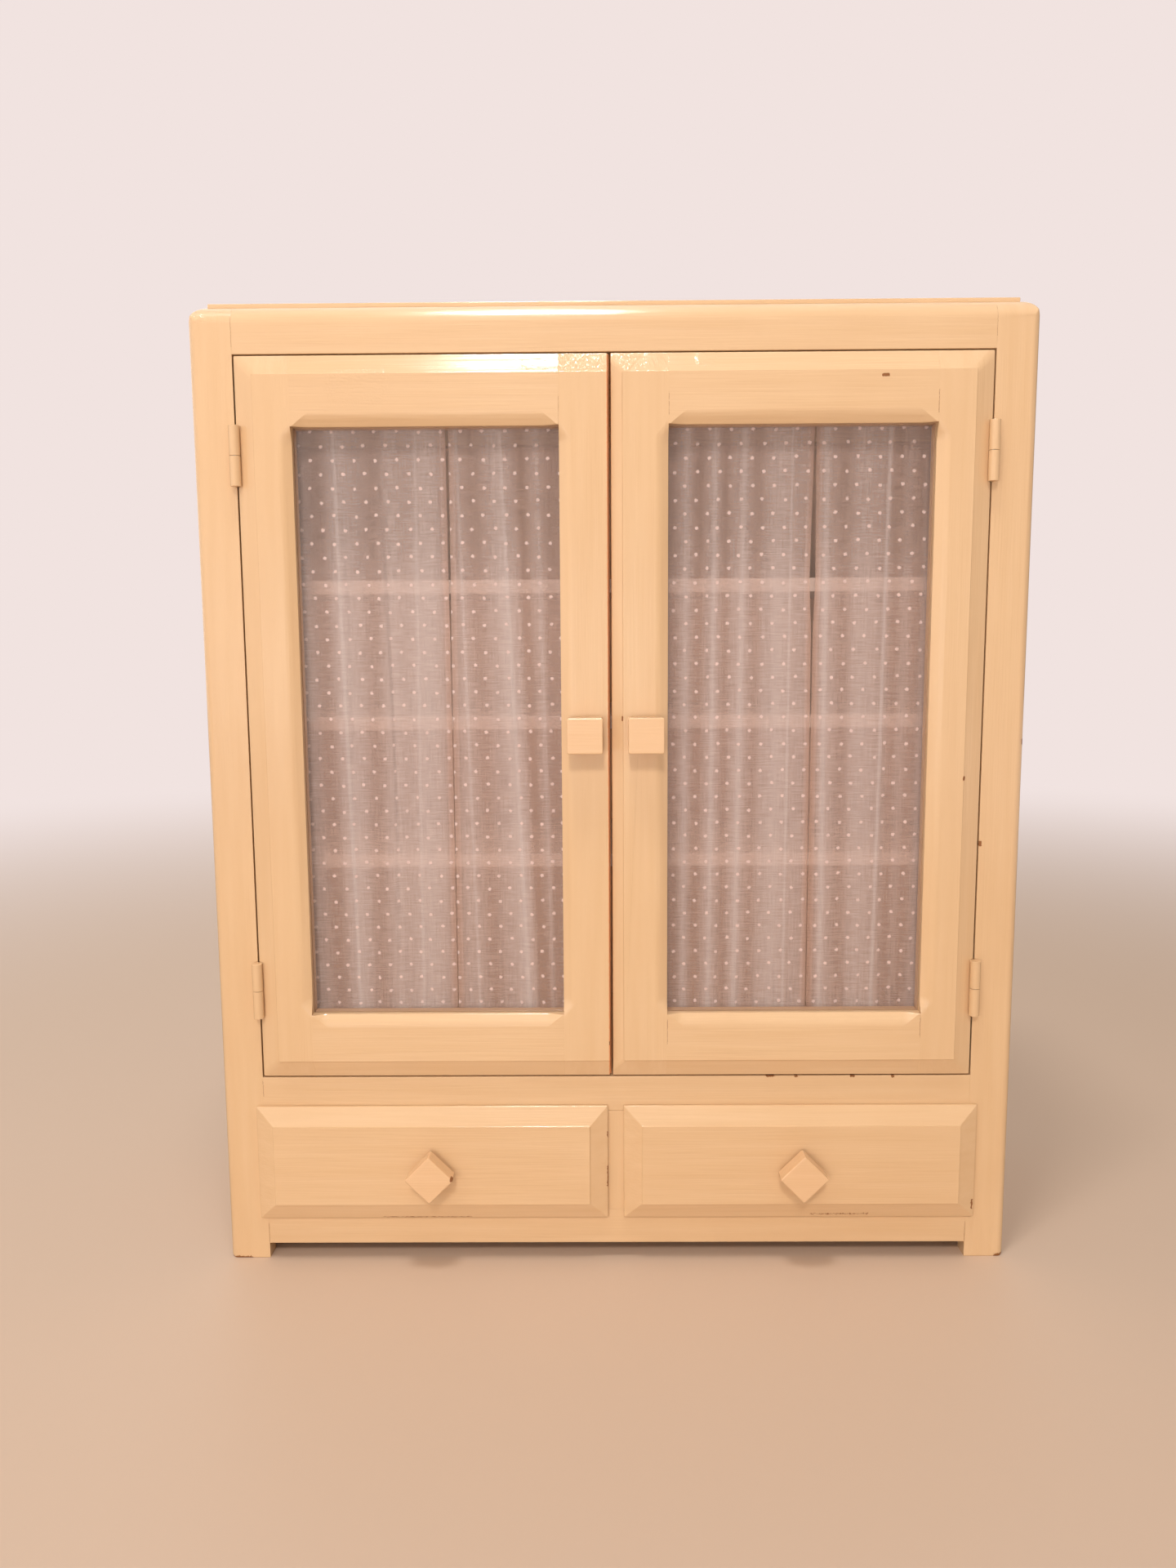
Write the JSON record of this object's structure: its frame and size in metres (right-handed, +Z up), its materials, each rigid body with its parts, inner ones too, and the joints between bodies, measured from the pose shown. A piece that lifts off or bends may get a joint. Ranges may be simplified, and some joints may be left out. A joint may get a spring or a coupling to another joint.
{
  "type": "wall cabinet",
  "caption": "Painted wooden cabinet with hinged glazed and curtained doors, inner shelves and lipped drawers below.",
  "frame": {"origin": "on the floor under the middle of the whole object's box, knobs included", "axes": "+X to the right as seen from the front, +Y from the front towards the wall, +Z up"},
  "size_m": [0.7, 0.2828, 0.834],
  "materials": {
    "cream_enamel": "brush-painted gloss enamel on wood",
    "handle_enamel": "brush-painted gloss enamel on wood, slightly yellower",
    "bare_pine": "planed, unpainted, aged",
    "plywood": "rotary-cut plywood, unpainted",
    "painted_hinge": "steel painted over with the same enamel",
    "pin_steel": "bright drawn steel",
    "plate_steel": "zinc-plated sheet",
    "window_glass": "clear drawn sheet glass",
    "brass_wire": "drawn brass wire, dulled",
    "curtain_cloth": "sheer dotted cotton, gathered",
    "catch_case": "moulded brown plastic"
  },
  "bodies": {
    "carcass": {"left_side_board": "cream_enamel", "right_side_board": "cream_enamel", "top_board": "bare_pine", "top_cap": "cream_enamel", "cupboard_floor": "bare_pine", "base_board": "bare_pine", "back_panel": "plywood", "hanging_rail": "bare_pine", "left_face_stile": "cream_enamel", "right_face_stile": "cream_enamel", "top_face_rail": "cream_enamel", "middle_face_rail": "cream_enamel", "bottom_face_rail": "cream_enamel", "drawer_muntin": "cream_enamel", "drawer_divider": "bare_pine", "drawer_guides": "bare_pine", "drawer_kickers": "bare_pine", "upper_shelf": "bare_pine", "middle_shelf": "bare_pine", "lower_shelf": "bare_pine", "shelf_cleats": "bare_pine", "frame_hinge_leaves": "painted_hinge", "hinge_pins": "pin_steel", "catch_housings": "catch_case"},
    "left_door": {"left_hinge_stile": "cream_enamel", "left_meeting_stile": "cream_enamel", "left_door_top_rail": "cream_enamel", "left_door_bottom_rail": "cream_enamel", "left_glass": "window_glass", "left_glazing_beads": "cream_enamel", "left_hinge_leaves": "painted_hinge", "left_handle": "handle_enamel", "left_curtain": "curtain_cloth", "left_curtain_rods": "brass_wire", "left_rod_eyes": "brass_wire", "left_catch_plate": "plate_steel"},
    "right_door": {"right_hinge_stile": "cream_enamel", "right_meeting_stile": "cream_enamel", "right_door_top_rail": "cream_enamel", "right_door_bottom_rail": "cream_enamel", "right_glass": "window_glass", "right_glazing_beads": "cream_enamel", "right_hinge_leaves": "painted_hinge", "right_handle": "handle_enamel", "right_curtain": "curtain_cloth", "right_curtain_rods": "brass_wire", "right_rod_eyes": "brass_wire", "right_catch_plate": "plate_steel"},
    "left_drawer": {"left_drawer_front": "cream_enamel", "left_drawer_sides": "bare_pine", "left_drawer_back": "bare_pine", "left_drawer_bottom": "plywood", "left_drawer_knob": "handle_enamel"},
    "right_drawer": {"right_drawer_front": "cream_enamel", "right_drawer_sides": "bare_pine", "right_drawer_back": "bare_pine", "right_drawer_bottom": "plywood", "right_drawer_knob": "handle_enamel"}
  },
  "joints": [
    {"name": "left_door_hinge", "type": "hinge", "parent": "carcass", "child": "left_door", "pos_m": [-0.3134, -0.11365, 0.48], "axis": [0, 0, -1], "range_deg": [0, 170]},
    {"name": "right_door_hinge", "type": "hinge", "parent": "carcass", "child": "right_door", "pos_m": [0.3134, -0.11365, 0.48], "axis": [0, 0, 1], "range_deg": [0, 170]},
    {"name": "left_drawer_slide", "type": "slide", "parent": "carcass", "child": "left_drawer", "axis": [0, -1, 0], "range_m": [0, 0.165]},
    {"name": "right_drawer_slide", "type": "slide", "parent": "carcass", "child": "right_drawer", "axis": [0, -1, 0], "range_m": [0, 0.165]}
  ]
}
